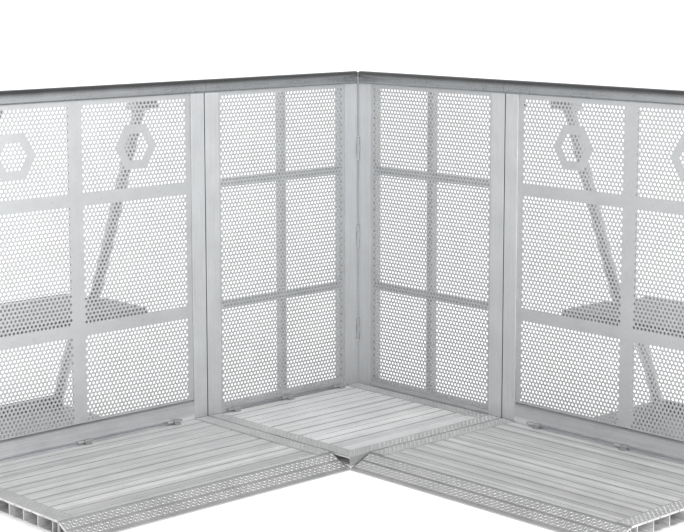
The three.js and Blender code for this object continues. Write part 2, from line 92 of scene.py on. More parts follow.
# The corner's hinge axis stands where the CAD hinge pins are.
low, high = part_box("corner_hinge_pin_lower")
AXIS = Vector(((low[0] + high[0]) / 2, (low[1] + high[1]) / 2, 0))
LEFT = Matrix.Translation(AXIS) @ Matrix.Scale(MM, 4)
RIGHT = Matrix.Translation(AXIS) @ Matrix.Rotation(-math.pi / 2, 4, "Z") @ Matrix.Scale(MM, 4)
MIRROR = Matrix.Scale(-1, 4, Vector((1, 0, 0)))


def shifted(matrix, x):
    return matrix @ Matrix.Translation((x, 0, 0))


# ---------------------------------------------------------------- materials
def node(tree, kind, **inputs):
    made = tree.nodes.new(kind)
    for name, value in inputs.items():
        made.inputs[name.replace("_", " ")].default_value = value
    return made


def noise(tree, coords, scale, detail, rough=0.6, stretch=(1, 1, 1)):
    mapping = node(tree, "ShaderNodeMapping", Scale=stretch)
    tree.links.new(coords, mapping.inputs["Vector"])
    made = node(tree, "ShaderNodeTexNoise", Scale=scale, Detail=detail, Roughness=rough)
    tree.links.new(mapping.outputs["Vector"], made.inputs["Vector"])
    return made.outputs["Fac"]


def remap(tree, value, low_in, high_in, low_out, high_out):
    made = node(tree, "ShaderNodeMapRange")
    tree.links.new(value, made.inputs["Value"])
    for name, number in (("From Min", low_in), ("From Max", high_in),
                         ("To Min", low_out), ("To Max", high_out)):
        made.inputs[name].default_value = number
    return made.outputs["Result"]


def arithmetic(tree, operation, a, b):
    made = tree.nodes.new("ShaderNodeMath")
    made.operation = operation
    for socket, value in zip(made.inputs, (a, b)):
        if isinstance(value, (int, float)):
            socket.default_value = value
        else:
            tree.links.new(value, socket)
    return made.outputs["Value"]


def blend_colour(tree, fac, a, b, clamp=True):
    made = tree.nodes.new("ShaderNodeMix")
    made.data_type = "RGBA"
    made.clamp_factor = clamp
    tree.links.new(fac, made.inputs["Factor"])
    colour_a, colour_b = [s for s in made.inputs if s.type == "RGBA"]
    for socket, value in ((colour_a, a), (colour_b, b)):
        if isinstance(value, tuple):
            socket.default_value = (*value, 1)
        else:
            tree.links.new(value, socket)
    return [s for s in made.outputs if s.type == "RGBA"][0]


# Noise is drawn out along the grain, in the fine lines and, further, in the wiped lanes.
GRAIN = {"x": (0.02, 1, 1), "y": (1, 0.02, 1), "z": (1, 1, 0.02), "none": (1, 1, 1)}
WIPE = {"x": (0.008, 1, 1), "y": (1, 0.008, 1)}
MATERIALS = {}


def distance(tree, split, axis, place):
    return arithmetic(tree, "ABSOLUTE", arithmetic(tree, "SUBTRACT", split.outputs[axis], place), 0)


def shaded(tree, light, factor):
    return arithmetic(tree, "MULTIPLY", light, factor)


def joint_shade_mask(tree, away, reach=0.0018):
    """Painted shade beside an upright joint, between two posts."""
    return remap(tree, away, reach, reach + 0.0008, 0.3, 1)


def metal(name, tone, rough, grain, streak=0.05, patch=0.06, pit=0.03, grime=0.12, bump=0.12,
          metallic=0.8, wipe=0.0, seams=(), bands=(), proud=None):
    """Bare aluminium or zinc: drawn or rolled grain, cloudy oxide, scuffs, grime near the ground.

    bands darken or lighten by height, as painted shade and light, seams are upright joints that
    take painted shade, as the hinge does then, and proud is the wall's face, as an axis and a
    place: lugs that stand in front of it are darker, with painted shade.
    """
    MATERIALS[name] = material = bpy.data.materials.new(name)
    material.use_nodes = True
    tree = material.node_tree
    shader = tree.nodes["Principled BSDF"]
    coords = tree.nodes.new("ShaderNodeTexCoord").outputs["Object"]
    fine = noise(tree, coords, 900, 4, 0.65, GRAIN[grain])
    lines = noise(tree, coords, 260, 3, 0.6, GRAIN[grain])
    clouds = noise(tree, coords, 9, 5, 0.6)
    spots = noise(tree, coords, 120, 4, 0.7)

    light = remap(tree, fine, 0.3, 0.7, 1 - streak, 1 + streak)
    light = shaded(tree, light, remap(tree, lines, 0.3, 0.7, 1 - streak, 1 + streak))
    light = shaded(tree, light, remap(tree, clouds, 0.3, 0.7, 1 - patch, 1 + patch))
    light = shaded(tree, light, remap(tree, spots, 0.55, 0.75, 1, 1 - pit * 3))
    if wipe:
        lanes = noise(tree, coords, 34, 5, 0.7, WIPE[grain])
        light = shaded(tree, light, remap(tree, lanes, 0.35, 0.65, 1 - wipe, 1 + wipe))
    split = tree.nodes.new("ShaderNodeSeparateXYZ")
    tree.links.new(coords, split.inputs["Vector"])
    foot = remap(tree, split.outputs["Z"], 0.0, 0.07, grime, 0)
    dirt = arithmetic(tree, "MULTIPLY", foot, remap(tree, clouds, 0.35, 0.65, 0.2, 1))
    # Painted light and shade by height, such as the rail's darker top and the kick rail's bands.
    for band in bands:
        light = shaded(tree, light, remap(tree, split.outputs["Z"], *band))
    # Painted shade on the lugs that stand in front of the wall's face.
    if proud:
        axis, face = proud
        light = shaded(tree, light,
                       remap(tree, split.outputs[axis], face - 0.002, face - 0.0004, 0.68, 1))
    # With joints, the hinge takes painted shade too: beside its seam, and on the parts that stand
    # in the inside corner, in front of both walls.
    if seams:
        near_hinge = arithmetic(tree, "MAXIMUM", distance(tree, split, "X", AXIS.x),
                                distance(tree, split, "Y", AXIS.y))
        light = shaded(tree, light, joint_shade_mask(tree, near_hinge, 0.0042))
        inside = arithmetic(tree, "MAXIMUM",
                            arithmetic(tree, "SUBTRACT", split.outputs["X"], AXIS.x),
                            arithmetic(tree, "SUBTRACT", split.outputs["Y"], AXIS.y))
        light = shaded(tree, light, remap(tree, inside, -0.0012, -0.0004, 0.58, 1))
    # Painted shade along each joint between two posts.
    for line in seams:
        light = shaded(tree, light, joint_shade_mask(tree, distance(tree, split, *line)))
    clean = blend_colour(tree, light, (0.0, 0.0, 0.0), tone, clamp=False)
    tree.links.new(blend_colour(tree, dirt, clean, (0.17, 0.165, 0.155)),
                   shader.inputs["Base Color"])

    worn = arithmetic(tree, "ADD", remap(tree, clouds, 0.3, 0.7, rough - 0.06, rough + 0.08),
                      remap(tree, fine, 0.3, 0.7, -0.04, 0.05))
    tree.links.new(arithmetic(tree, "ADD", worn, arithmetic(tree, "MULTIPLY", dirt, 0.35)),
                   shader.inputs["Roughness"])
    shader.inputs["Metallic"].default_value = metallic
    relief = arithmetic(tree, "ADD", fine, arithmetic(tree, "MULTIPLY", spots, 0.6))
    ridge = node(tree, "ShaderNodeBump", Strength=bump, Distance=0.0004)
    tree.links.new(relief, ridge.inputs["Height"])
    tree.links.new(ridge.outputs["Normal"], shader.inputs["Normal"])


def plastic(name, tone):
    """Moulded black plastic with a fine spark-eroded texture and handling shine."""
    MATERIALS[name] = material = bpy.data.materials.new(name)
    material.use_nodes = True
    tree = material.node_tree
    shader = tree.nodes["Principled BSDF"]
    coords = tree.nodes.new("ShaderNodeTexCoord").outputs["Object"]
    grain = noise(tree, coords, 1400, 3)
    wear = noise(tree, coords, 45, 4)
    colour = blend_colour(tree, remap(tree, wear, 0.35, 0.7, 0, 1), tone,
                          tuple(2.2 * c + 0.01 for c in tone))
    tree.links.new(colour, shader.inputs["Base Color"])
    tree.links.new(remap(tree, wear, 0.3, 0.7, 0.62, 0.4), shader.inputs["Roughness"])
    ridge = node(tree, "ShaderNodeBump", Strength=0.25, Distance=0.0002)
    tree.links.new(grain, ridge.inputs["Height"])
    tree.links.new(ridge.outputs["Normal"], shader.inputs["Normal"])


# Painted shade on the rail's top, standing in for its reflection of a dark ceiling.
RAIL_PAINTED_DARK_TOP = (((TOP - 24) * MM, (TOP - 8) * MM, 1, 0.42),)
# Joints between the modules and the corner panels, where the posts take painted shade.
POST_SEAMS = (("X", AXIS.x - CORNER_W * MM), ("Y", AXIS.y - CORNER_W * MM))
# Painted shade on the kick rail's rounded top, damping its highlight, and painted light low down,
# near the deck.
KICK_PAINTED_LIGHT_AND_SHADE = (((KICK_Z1 - 19) * MM, (KICK_Z1 - 8) * MM, 1, 0.62), (0.050, 0.064, 1.4, 1))
FRAME_TONE = (0.67, 0.68, 0.69)

metal("frame_z", FRAME_TONE, 0.44, "z", seams=POST_SEAMS)
for axis, wall_face in (("x", ("Y", AXIS.y)), ("y", ("X", AXIS.x))):
    metal("frame_" + axis, FRAME_TONE, 0.44, axis, proud=wall_face)
    metal("rail_" + axis, (0.38, 0.39, 0.40), 0.27, axis, streak=0.07, bump=0.05, metallic=0.95,
          bands=RAIL_PAINTED_DARK_TOP)
    metal("kick_" + axis, (0.64, 0.65, 0.66), 0.42, axis, streak=0.07, bands=KICK_PAINTED_LIGHT_AND_SHADE,
          proud=wall_face)
    metal("deck_" + axis, (0.79, 0.79, 0.79), 0.42, axis, streak=0.1, patch=0.07, pit=0.06,
          grime=0.08, bump=0.2, metallic=0.45, wipe=0.22)
    # Painted shade: the darker ear material on the deck's hinge ears, webs and welds stands in for
    # the shade in the gap at the wall. The deck's front edge takes it too.
    metal("ear_" + axis, (0.46, 0.465, 0.47), 0.5, axis, patch=0.1)
    # Painted shade: the grid bars behind the sheets are darker, for the shade behind the holes.
    metal("grid_" + axis, (0.43, 0.435, 0.44), 0.5, axis, patch=0.08)
metal("sheet", (0.59, 0.60, 0.61), 0.48, "none", streak=0.03, patch=0.05)
metal("tread", (0.68, 0.68, 0.68), 0.44, "none", patch=0.1, pit=0.07, grime=0.15, bump=0.2)
# Painted light: a brighter copy of the deck material, for the corner deck, standing in for the
# light that falls on it.
metal("deck_painted_light", (0.97, 0.97, 0.97), 0.38, "x", streak=0.1, patch=0.07, pit=0.06, grime=0.0,
      bump=0.2, metallic=0.45, wipe=0.18)
# Painted shade: the darker groove material in the decks' grooves and plank seams and in the ramps'
# joints.
metal("groove", (0.42, 0.417, 0.41), 0.6, "none", patch=0.2, metallic=0.5)
metal("worn", (0.88, 0.88, 0.88), 0.40, "none", patch=0.12, grime=0.05)
metal("brace", (0.46, 0.465, 0.47), 0.46, "none", patch=0.09, pit=0.05)
metal("step", (0.38, 0.385, 0.39), 0.5, "none", patch=0.1, pit=0.07)
metal("weld", (0.52, 0.52, 0.53), 0.4, "none", patch=0.12, pit=0.08, bump=0.3)
metal("steel", (0.42, 0.43, 0.45), 0.34, "none", patch=0.08, metallic=0.95)
plastic("knob", (0.018, 0.018, 0.02))


# ---------------------------------------------------------------- mesh tools
class Build:
    """Faces gathered in a unit's own millimetres, made into one object in the CAD's frame."""

    def __init__(self, matrix):
        self.matrix = matrix
        self.verts = []
        self.faces = []
        self.finish = []

    def add(self, verts, faces, finish=0):
        start = len(self.verts)
        self.verts.extend(verts)
        self.faces.extend([tuple(i + start for i in face) for face in faces])
        self.finish.extend([finish] * len(faces))

    def piece(self, name, body, material, smooth, replaces=()):
        mesh = bpy.data.meshes.new(name)
        matrix = self.matrix
        mesh.from_pydata([matrix @ Vector(v) for v in self.verts], [], self.faces)
        if matrix.determinant() < 0:
            mesh.flip_normals()
        for finish in (material,) if isinstance(material, str) else material:
            mesh.materials.append(MATERIALS[finish])
        mesh.polygons.foreach_set("material_index", self.finish)
        obj = bpy.data.objects.new(name, mesh)
        bpy.context.scene.collection.objects.link(obj)
        if smooth:
            mesh.shade_smooth()
            mesh.set_sharp_from_angle(angle=math.radians(smooth))
        if replaces:
            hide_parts(*replaces)
        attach(obj, body)
        return obj


def add_bevel(obj, width):
    bevel = obj.modifiers.new("edges", "BEVEL")
    bevel.width = width * MM
    bevel.segments = 2
    bevel.limit_method = "ANGLE"
    bevel.angle_limit = math.radians(40)
    bevel.harden_normals = True


def area(points):
    return 0.5 * sum(a[0] * b[1] - b[0] * a[1] for a, b in zip(points, points[1:] + points[:1]))


def wound(points, anticlockwise=True):
    return list(points) if (area(list(points)) > 0) == anticlockwise else list(points)[::-1]


def prism(build, outer, holes, start, end, place, finish=0):
    """A profile drawn from start to end. place(u, v, w) gives the point in the unit's frame."""
    loops = [wound(outer)] + [wound(h, False) for h in holes]
    flat = [Vector((u, v, 0)) for loop in loops for u, v in loop]
    caps = []
    for triangle in tessellate_polygon([[Vector((u, v, 0)) for u, v in loop] for loop in loops]):
        a, b, c = (flat[i] for i in triangle)
        caps.append(triangle if (b - a).cross(c - a).z > 0 else triangle[::-1])
    count = len(flat)
    verts = [place(p.x, p.y, w) for w in (start, end) for p in flat]
    faces = [tuple(i + count for i in t) for t in caps] + [tuple(t[::-1]) for t in caps]
    first = 0
    for loop in loops:
        n = len(loop)
        for i in range(n):
            a, b = first + i, first + (i + 1) % n
            faces.append((a, b, b + count, a + count))
        first += n
    build.add(verts, faces, finish)


def along_x(u, v, w):
    return (w, u, v)


def along_z(u, v, w):
    return (u, v, w)


def ring_faces(rings, sides, tip):
    """Faces over stacked rings of points, between a first pole, vertex 0, and a last one, tip."""
    faces = []
    for i in range(sides):
        j = (i + 1) % sides
        faces.append((0, 1 + j, 1 + i))
        for r in range(rings - 1):
            a, b = 1 + r * sides, 1 + (r + 1) * sides
            faces.append((a + i, a + j, b + j, b + i))
        last = 1 + (rings - 1) * sides
        faces.append((last + i, last + j, tip))
    return faces


def rect(u, v):
    return [(u[0], v[0]), (u[1], v[0]), (u[1], v[1]), (u[0], v[1])]


def rounded(u, v, radii, steps):
    centres = ((u[0] + radii[0], v[0] + radii[0], math.pi),
               (u[1] - radii[1], v[0] + radii[1], 1.5 * math.pi),
               (u[1] - radii[2], v[1] - radii[2], 0),
               (u[0] + radii[3], v[1] - radii[3], 0.5 * math.pi))
    points = []
    for (cu, cv, angle), radius in zip(centres, radii):
        for i in range(steps + 1):
            turn = angle + i / steps * math.pi / 2
            points.append((cu + radius * math.cos(turn), cv + radius * math.sin(turn)))
    return points


def circle(cu, cv, radius, sides):
    return [(cu + radius * math.cos(2 * math.pi * i / sides),
             cv + radius * math.sin(2 * math.pi * i / sides)) for i in range(sides)]


def lathe(build, centre, axis, profile, sides, finish=0):
    """A turned solid. profile is (distance along axis, radius), from pole to pole."""
    axis = Vector(axis).normalized()
    side = axis.orthogonal().normalized()
    other = axis.cross(side)
    centre = Vector(centre)
    verts = [centre + axis * profile[0][0]]
    for along, radius in profile[1:-1]:
        for i in range(sides):
            turn = 2 * math.pi * i / sides
            verts.append(centre + axis * along
                         + side * radius * math.cos(turn) + other * radius * math.sin(turn))
    verts.append(centre + axis * profile[-1][0])
    faces = ring_faces(len(profile) - 2, sides, len(verts) - 1)
    build.add([tuple(v) for v in verts], faces, finish)


def dome(build, centre, axis, radius, height):
    """A rivet or screw head standing on a surface."""
    lathe(build, centre, axis,
          [(-0.4, 0), (-0.4, radius)] + [
              (height * math.sin(math.radians(a)), radius * math.cos(math.radians(a)))
              for a in (0, 25, 50, 72)] + [(height, 0)], 14)


def bead(build, start, end, radius, finish=0):
    """A weld bead: a half-round run with the ripples that a hand weld leaves."""
    start, end = Vector(start), Vector(end)
    length = (end - start).length
    steps = max(4, int(length / (BEAD_RIPPLE / 2)))
    profile = [(0, 0)]
    for i in range(steps + 1):
        wave = 1 + 0.16 * math.cos(math.pi * i) + 0.06 * math.sin(i * 1.7)
        taper = min(1, 0.35 + 0.5 * min(i, steps - i))
        profile.append((0.2 + i / steps * (length - 0.4), radius * wave * taper))
    profile.append((length, 0))
    lathe(build, start, end - start, profile, 8, finish)


def tube_path(points, count):
    """A centripetal Catmull-Rom curve through points, as the leg's centre line."""
    points = [Vector(p) for p in points]
    ends = [2 * points[0] - points[1]] + points + [2 * points[-1] - points[-2]]
    fine = []
    for k in range(1, len(ends) - 2):
        p0, p1, p2, p3 = ends[k - 1:k + 3]
        t1 = (p1 - p0).length ** 0.5
        t2 = t1 + (p2 - p1).length ** 0.5
        t3 = t2 + (p3 - p2).length ** 0.5
        for i in range(count):
            t = t1 + (t2 - t1) * i / count
            a1 = p0 * ((t1 - t) / t1) + p1 * (t / t1)
            a2 = p1 * ((t2 - t) / (t2 - t1)) + p2 * ((t - t1) / (t2 - t1))
            a3 = p2 * ((t3 - t) / (t3 - t2)) + p3 * ((t - t2) / (t3 - t2))
            b1 = a1 * ((t2 - t) / t2) + a2 * (t / t2)
            b2 = a2 * ((t3 - t) / (t3 - t1)) + a3 * ((t - t1) / (t3 - t1))
            fine.append(b1 * ((t2 - t) / (t2 - t1)) + b2 * ((t - t1) / (t2 - t1)))
    fine.append(points[-1])
    return fine


# ---------------------------------------------------------------- perforated sheet
def hole_cell(sides):
    """The plate round one hole: the hole's ring, and the triangles between it and the cell's rim.

    The triangles count the six rim corners first, then the ring's points.
    """
    rim = [(0, 0), (HOLE_PITCH / 2, 0), (HOLE_PITCH, 0),
           (HOLE_PITCH, HOLE_ROW), (HOLE_PITCH / 2, HOLE_ROW), (0, HOLE_ROW)]
    centre = (HOLE_PITCH / 2, HOLE_ROW / 2)
    ring = circle(*centre, HOLE_R, sides)

    def turn(p):
        return math.atan2(p[1] - centre[1], p[0] - centre[0]) % (2 * math.pi)

    rim_order = sorted(range(6), key=lambda i: turn(rim[i]))
    triangles = []
    i = j = 0
    while i < 6 or j < sides:
        next_rim = turn(rim[rim_order[i % 6]]) + (2 * math.pi if i >= 6 else 0)
        next_ring = 2 * math.pi * j / sides
        a = rim_order[(i - 1) % 6]
        b = 6 + (j - 1) % sides
        if i < 6 and (j >= sides or next_rim <= next_ring):
            triangles.append((b, a, rim_order[i]))
            i += 1
        else:
            triangles.append((b, a, 6 + j % sides))
            j += 1
    return ring, triangles


def perforated(build, x_lines, z_lines, is_hole, sides):
    """A plate on a grid of lines. is_hole(i, j) is true where a hole's cell starts at column i."""
    ring, triangles = hole_cell(sides)
    front, back = SHEET_Y
    verts, faces, index = [], [], {}

    def corner(i, j, side):
        key = (i, j, side)
        if key not in index:
            index[key] = len(verts)
            verts.append((x_lines[i], side, z_lines[j]))
        return index[key]

    columns, rows = len(x_lines) - 1, len(z_lines) - 1
    for j in range(rows):
        i = 0
        while i < columns:
            if not is_hole(i, j):
                quad = [(i, j), (i + 1, j), (i + 1, j + 1), (i, j + 1)]
                faces.append(tuple(corner(a, b, front) for a, b in quad))
                faces.append(tuple(corner(a, b, back) for a, b in reversed(quad)))
                i += 1
                continue
            near = [(i, j), (i + 1, j), (i + 2, j), (i + 2, j + 1), (i + 1, j + 1), (i, j + 1)]
            origin = (x_lines[i], z_lines[j])
            sheets = []
            for side in (front, back):
                ids = [corner(a, b, side) for a, b in near]
                ids += range(len(verts), len(verts) + sides)
                verts.extend((origin[0] + u, side, origin[1] + v) for u, v in ring)
                sheets.append(ids)
            faces.extend(tuple(sheets[0][k] for k in t[::-1]) for t in triangles)
            faces.extend(tuple(sheets[1][k] for k in t) for t in triangles)
            for k in range(sides):
                a, b = 6 + k, 6 + (k + 1) % sides
                faces.append((sheets[0][b], sheets[0][a], sheets[1][a], sheets[1][b]))
            i += 2
    for i in range(columns):
        for j, up in ((0, False), (rows, True)):
            quad = (corner(i, j, front), corner(i, j, back),
                    corner(i + 1, j, back), corner(i + 1, j, front))
            faces.append(quad[::-1] if up else quad)
    for j in range(rows):
        for i, right in ((0, False), (columns, True)):
            quad = (corner(i, j, front), corner(i, j + 1, front),
                    corner(i, j + 1, back), corner(i, j, back))
            faces.append(quad[::-1] if right else quad)
    build.add(verts, faces)


def lines_for(low_edge, high_edge, fields, step):
    """Grid lines from low_edge to high_edge, close together over each field of holes."""
    lines, field_of = [low_edge], {}
    for number, (start, count) in enumerate(fields):
        if start > lines[-1] + 1e-6:
            lines.append(start)
        for k in range(count):
            field_of[len(lines) - 1] = (number, k)
            lines.append(start + (k + 1) * step)
    lines.append(high_edge)
    return lines, field_of


def hexagon(x, z):
    """How many holes away from the middle a place is, counted along the rows of holes."""
    row = abs(z) / HOLE_ROW
    return max(row, abs(x) / HOLE_PITCH + row / 2)


def sheet_piece(build, x_span, z_span, x_fields, z_fields, sides, patches=()):
    x_lines, column_of = lines_for(*x_span, x_fields, HOLE_PITCH / 2)
    z_lines, row_of = lines_for(*z_span, z_fields, HOLE_ROW)

    def is_hole(i, j):
        if i not in column_of or j not in row_of or i + 1 not in column_of:
            return False
        field, k = column_of[i]
        if column_of[i + 1][0] != field or (k + row_of[j][1]) % 2:
            return False
        x, z = x_lines[i + 1], z_lines[j] + HOLE_ROW / 2
        return all(not low_ring < hexagon(x - px, z - pz) < high_ring
                   for px, pz, low_ring, high_ring in patches)

    perforated(build, x_lines, z_lines, is_hole, sides)


# ---------------------------------------------------------------- tread plate
def lozenges(build, origin, u_axis, v_axis, size, pitch, length, width, height):
    """Raised lozenges, turned alternately, over a rectangle that starts at origin."""
    origin, u_axis, v_axis = Vector(origin), Vector(u_axis), Vector(v_axis)
    normal = u_axis.cross(v_axis)
    margin = length * 0.42
    columns = max(1, int((size[0] - 2 * margin) / pitch) + 1)
    rows = max(1, int((size[1] - 2 * margin) / pitch) + 1)
    gap_u = (size[0] - (columns - 1) * pitch) / 2
    gap_v = (size[1] - (rows - 1) * pitch) / 2
    outline = [(math.cos(a) * length / 2, math.sin(a) * width / 2)
               for a in (2 * math.pi * k / 8 for k in range(8))]
    for i in range(columns):
        for j in range(rows):
            turn = math.pi / 4 if (i + j) % 2 else -math.pi / 4
            c, s = math.cos(turn), math.sin(turn)
            middle = origin + u_axis * (gap_u + i * pitch) + v_axis * (gap_v + j * pitch)
            verts = []
            for scale, lift in ((1, -0.15), (0.8, 0.55 * height), (0.42, height)):
                for a, b in outline:
                    u, v = scale * (a * c - b * s), scale * (a * s + b * c)
                    verts.append(tuple(middle + u_axis * u + v_axis * v + normal * lift))
            faces = [tuple(range(16, 24)), tuple(range(7, -1, -1))]
            for ring in (0, 8):
                for k in range(8):
                    n = (k + 1) % 8
                    faces.append((ring + k, ring + n, ring + 8 + n, ring + 8 + k))
            build.add(verts, faces, 1)


# ---------------------------------------------------------------- decks
def deck_top_line():
    """The planks' upper outline from back to front: seams, paired grooves and fine ribs."""
    marks = []
    for y in PLANK_EDGES[1:]:
        marks.append((y, 2.4, GROOVE_DEPTH))
    for y in GROOVES:
        marks.append((y, 4.6, GROOVE_DEPTH))
    y = PLANK_EDGES[0] - 5
    while y > PLANK_EDGES[-1] + 4:
        if all(abs(y - m[0]) > 5 for m in marks):
            marks.append((y, 1.8, 0.55))
        y -= 6.0
    points = []
    for y, width, depth in sorted(marks, key=lambda m: -m[0]):
        half = width / 2
        points += [(y + half, DECK_TOP), (y + half * 0.6, DECK_TOP - depth),
                   (y - half * 0.6, DECK_TOP - depth), (y - half, DECK_TOP)]
    return points


def deck_cells(bottom, front):
    edges = []
    for a, b in zip(PLANK_EDGES, PLANK_EDGES[1:]):
        edges += [(a, (a + b) / 2), ((a + b) / 2, b)]
    edges.append((PLANK_EDGES[-1], front))
    cells = []
    for number, (back, ahead) in enumerate(edges):
        inner = back - (3 if number == 0 else 1.5)
        outer = ahead + (3 if number == len(edges) - 1 else 1.5)
        cells.append(rounded((outer, inner), (bottom + 3, DECK_TOP - 4), (1.5,) * 4, 2))
    return cells


def mark_faces(build, places, reach, lowest, finish):
    """Gives the faces within reach of each lengthwise groove or edge their own, darker finish:
    painted shade in the grooves, seams and joints.
    """
    for number, face in enumerate(build.faces):
        corners = [build.verts[i] for i in face]
        for place in places:
            if all(abs(y - place) <= reach and z >= lowest for _, y, z in corners):
                build.finish[number] = finish


def deck_piece(name, matrix, body, span, bottom, front, ears, material, axis, replaced):
    build = Build(matrix)
    nose = [(front, DECK_TOP - 3), (front, bottom + 1.5), (front + 1.5, bottom)]
    arc = [(front + 3 - 3 * math.sin(a), DECK_TOP - 3 + 3 * math.cos(a))
           for a in (math.radians(15 * k) for k in range(6))]
    outline = [(DECK_BACK - 1.5, bottom), (DECK_BACK, bottom + 1.5), (DECK_BACK, DECK_TOP - 1),
               (DECK_BACK - 1, DECK_TOP)] + deck_top_line() + arc + nose
    prism(build, outline, deck_cells(bottom, front), *span, along_x)
    # Painted shade: the grooves and plank seams take the darker groove material. The front edge
    # takes the darker ear material.
    mark_faces(build, PLANK_EDGES[1:] + GROOVES, 2.4, DECK_TOP - GROOVE_DEPTH - 0.1, 1)
    mark_faces(build, (front,), 3.1, 0, 2)
    for x in ears:
        hinge = circle(PIN_Y, PIN_Z, EAR_R, 28)
        bore = circle(PIN_Y, PIN_Z, PIN_BORE_R, 28)
        prism(build, hinge, [bore], x, x + EAR_L, along_x, 2)
        web = [(-23, 37), (-12.2, 37), (-10.6, 45.4), (-12.4, 48), (-15, 46.2), (-23, 41)]
        prism(build, web, [], x + 0.4, x + EAR_L - 0.4, along_x, 2)
        bead(build, (x + 1, -23, 40.4), (x + EAR_L - 1, -23, 40.4), 1.3, finish=2)
    build.piece(name, body, (material, "groove", "ear_" + axis), 30, replaced)


def stations(width):
    return [0.15 * width, 0.5 * width, 0.85 * width]


def ramp_piece(name, matrix, body, replaced):
    """Two tread-plate slopes with a joint between them and a lip on the ground."""
    build = Build(matrix)
    back, front = RAMP_BACK, RAMP_FRONT

    def slope(y):
        return 4 + (DECK_TOP - 5) * (y - (front + 6)) / (back - 6 - (front + 6))

    top = []
    for y, width, depth in ((back - 38, 4.5, 2.5), (front + 12, 3.0, 1.2)):
        top += [(y + width / 2, slope(y + width / 2)), (y + width * 0.3, slope(y) - depth),
                (y - width * 0.3, slope(y) - depth), (y - width / 2, slope(y - width / 2))]
    outline = [(back, 0.8), (back, DECK_TOP - 2), (back - 1, DECK_TOP - 1),
               (back - 6, DECK_TOP - 1)]
    outline += top + [(front + 6, 4), (front + 1, 3.2), (front, 2.4), (front, 0.8),
                      (front + 0.8, 0), (back - 0.8, 0)]
    inner = [(front + 34, 3), (back - 4, 3), (back - 4, DECK_TOP - 7)]
    span = (2, MODULE_W - 2)
    prism(build, outline, [inner], *span, along_x)
    # Painted shade: the ramp's two joints take the darker groove material.
    mark_faces(build, (back - 38, front + 12), 2.3, 4, 2)
    rise = (slope(back - 10) - slope(front + 20)) / ((back - 10) - (front + 20))
    run = Vector((0, 1, rise)).normalized()
    for low_y, high_y in ((front + 14, back - 41), (back - 35, back - 7)):
        start = Vector((span[0] + 2, low_y, slope(low_y)))
        length = (high_y - low_y) / run.y
        lozenges(build, start, (1, 0, 0), run, (span[1] - span[0] - 4, length), *RAMP_TREAD)
    build.piece(name, body, ("tread", "worn", "groove"), 30, replaced)


def strip_piece(name, matrix, body, outline, fields, screws, replaced):
    """A tread-plate strip, screwed down with flat heads."""
    build = Build(matrix)
    prism(build, outline, [], STRIP_BOTTOM, STRIP_TOP - 0.1, along_z)
    for (x0, x1), (y0, y1) in fields:
        lozenges(build, (x0, y0, STRIP_TOP - 0.1), (1, 0, 0), (0, 1, 0), (x1 - x0, y1 - y0),
                 *STRIP_TREAD)
    for x, y in screws:
        lathe(build, (x, y, STRIP_TOP - 0.3), (0, 0, 1),
              [(-0.4, 0), (-0.4, 4.2), (0.25, 4.2), (0.6, 3.9), (0.6, 1.8), (-0.1, 1.6),
               (-0.1, 0)], 18)
    build.piece(name, body, ("tread", "worn"), 30, replaced)


# ---------------------------------------------------------------- units
def post_top_beads(build, spans):
    """Welds between each post's top and the handrail, in front and behind."""
    for x0, x1 in spans:
        bead(build, (x0, 0.4, PANEL_TOP), (x1, 0.4, PANEL_TOP), 1.6)
        bead(build, (x0, POST_D - 0.4, PANEL_TOP), (x1, POST_D - 0.4, PANEL_TOP), 1.8)


def grid_beads(build, bars, ends, middle, upright_w, radius):
    """Welds at the cross bars' ends and where they meet the middle upright."""
    for z in (edge for bar in bars for edge in bar):
        for x in ends:
            bead(build, (x, BAR_Y[0] + 3, z), (x, BAR_Y[1] - 4, z), radius)
        for x in (middle - upright_w / 2, middle + upright_w / 2):
            bead(build, (x, BAR_Y[0] + 3, z), (x, BAR_Y[1] - 1, z), radius)


